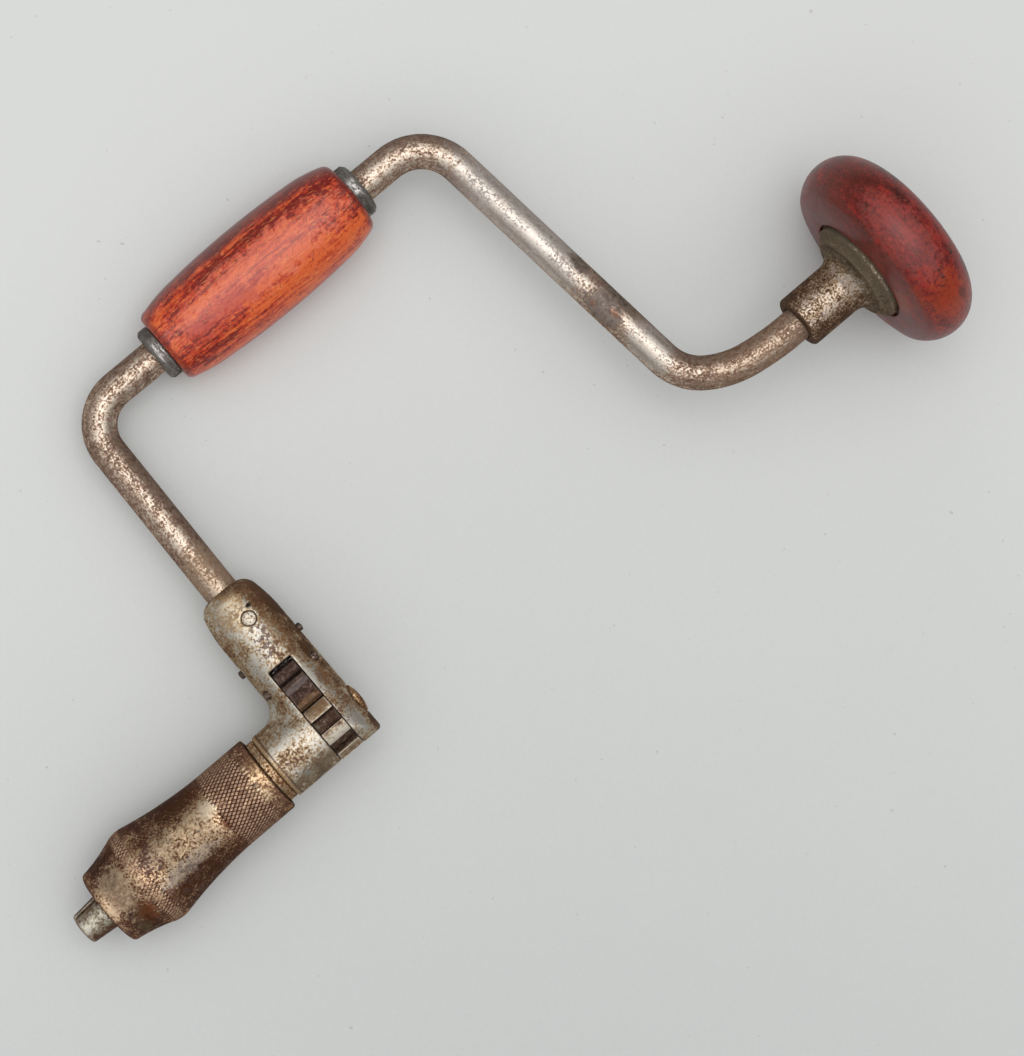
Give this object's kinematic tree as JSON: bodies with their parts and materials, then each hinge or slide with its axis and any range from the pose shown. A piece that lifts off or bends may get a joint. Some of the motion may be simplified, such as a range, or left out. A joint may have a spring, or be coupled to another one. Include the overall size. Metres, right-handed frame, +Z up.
{
  "type": "bit brace",
  "caption": "Hand brace with a cranked bar, a turning wooden grip and head, an open ratchet box and a two-jaw chuck for square-tang bits.",
  "frame": {"origin": "mouth of the bit socket: centre of the jaws' nose, on the spindle axis", "axes": "+X along the spindle from the jaws to the wooden head, +Y from the spindle to the bow of the crank, +Z up, square to the plane of the bow"},
  "size_m": [0.3559, 0.1793, 0.0714],
  "materials": {
    "crank_bar": "worn bright steel with brown patina",
    "ratchet_casting": "worn plating over iron",
    "shell_steel": "worn plating, brown, knurled",
    "jaw_steel": "dark forged steel",
    "ratchet_steel": "bare steel, oiled and brown",
    "pin_steel": "bare steel",
    "collar_steel": "dull worn steel",
    "quill_steel": "worn plating, speckled",
    "spring_steel": "blued spring steel",
    "grip_wood": "orange-red stain under worn lacquer",
    "head_wood": "dark crimson stain under worn lacquer"
  },
  "bodies": {
    "crank_frame": {"crank": "crank_bar", "ratchet_box": "ratchet_casting", "socket_rivet": "pin_steel", "near_pawl_pin": "pin_steel", "far_pawl_pin": "pin_steel", "spring_pin": "pin_steel", "pawl_spring": "spring_steel", "lower_grip_collar": "collar_steel", "upper_grip_collar": "collar_steel", "head_thrust_washer": "spring_steel", "head_retaining_nut": "collar_steel"},
    "spindle": {"chuck_spindle": "collar_steel", "ratchet_wheel": "ratchet_steel", "spindle_end_screw": "pin_steel", "jaw_spring": "spring_steel"},
    "chuck_shell": {"chuck_shell": "shell_steel"},
    "near_jaw": {"near_jaw": "jaw_steel"},
    "far_jaw": {"far_jaw": "jaw_steel"},
    "near_pawl": {"near_pawl": "ratchet_steel"},
    "far_pawl": {"far_pawl": "ratchet_steel"},
    "sweep_grip": {"sweep_grip": "grip_wood"},
    "head": {"head_quill": "quill_steel", "head_pad": "head_wood"}
  },
  "joints": [
    {"name": "spindle_turn", "type": "hinge", "parent": "crank_frame", "child": "spindle", "pos_m": [0.0885, 0, 0], "axis": [1, 0, 0], "continuous": true},
    {"name": "shell_travel", "type": "slide", "parent": "spindle", "child": "chuck_shell", "axis": [-1, 0, 0], "range_m": [-0.0009, 0.0046]},
    {"name": "near_jaw_tilt", "type": "hinge", "parent": "spindle", "child": "near_jaw", "pos_m": [0.0425, -0.00294, 0.00404], "axis": [0, 0.809, 0.5878], "range_deg": [-0.73, 3.71]},
    {"name": "far_jaw_tilt", "type": "hinge", "parent": "spindle", "child": "far_jaw", "pos_m": [0.0425, 0.00294, -0.00404], "axis": [0, -0.809, -0.5878], "range_deg": [-0.73, 3.71]},
    {"name": "near_pawl_throw", "type": "hinge", "parent": "crank_frame", "child": "near_pawl", "pos_m": [0.1022, 0.0191, 0.0057], "axis": [1, 0, 0], "range_deg": [0, 12.5]},
    {"name": "far_pawl_throw", "type": "hinge", "parent": "crank_frame", "child": "far_pawl", "pos_m": [0.1022, 0.0191, -0.0057], "axis": [-1, 0, 0], "range_deg": [0, 12.5]},
    {"name": "grip_turn", "type": "hinge", "parent": "crank_frame", "child": "sweep_grip", "pos_m": [0.179, 0.127, 0], "axis": [1, 0, 0], "continuous": true},
    {"name": "head_turn", "type": "hinge", "parent": "crank_frame", "child": "head", "pos_m": [0.326, 0, 0], "axis": [1, 0, 0], "continuous": true}
  ],
  "couplings": [
    {"joint": "near_jaw_tilt", "follows": "shell_travel", "rad_per_m": 14.039},
    {"joint": "far_jaw_tilt", "follows": "shell_travel", "rad_per_m": 14.039}
  ]
}
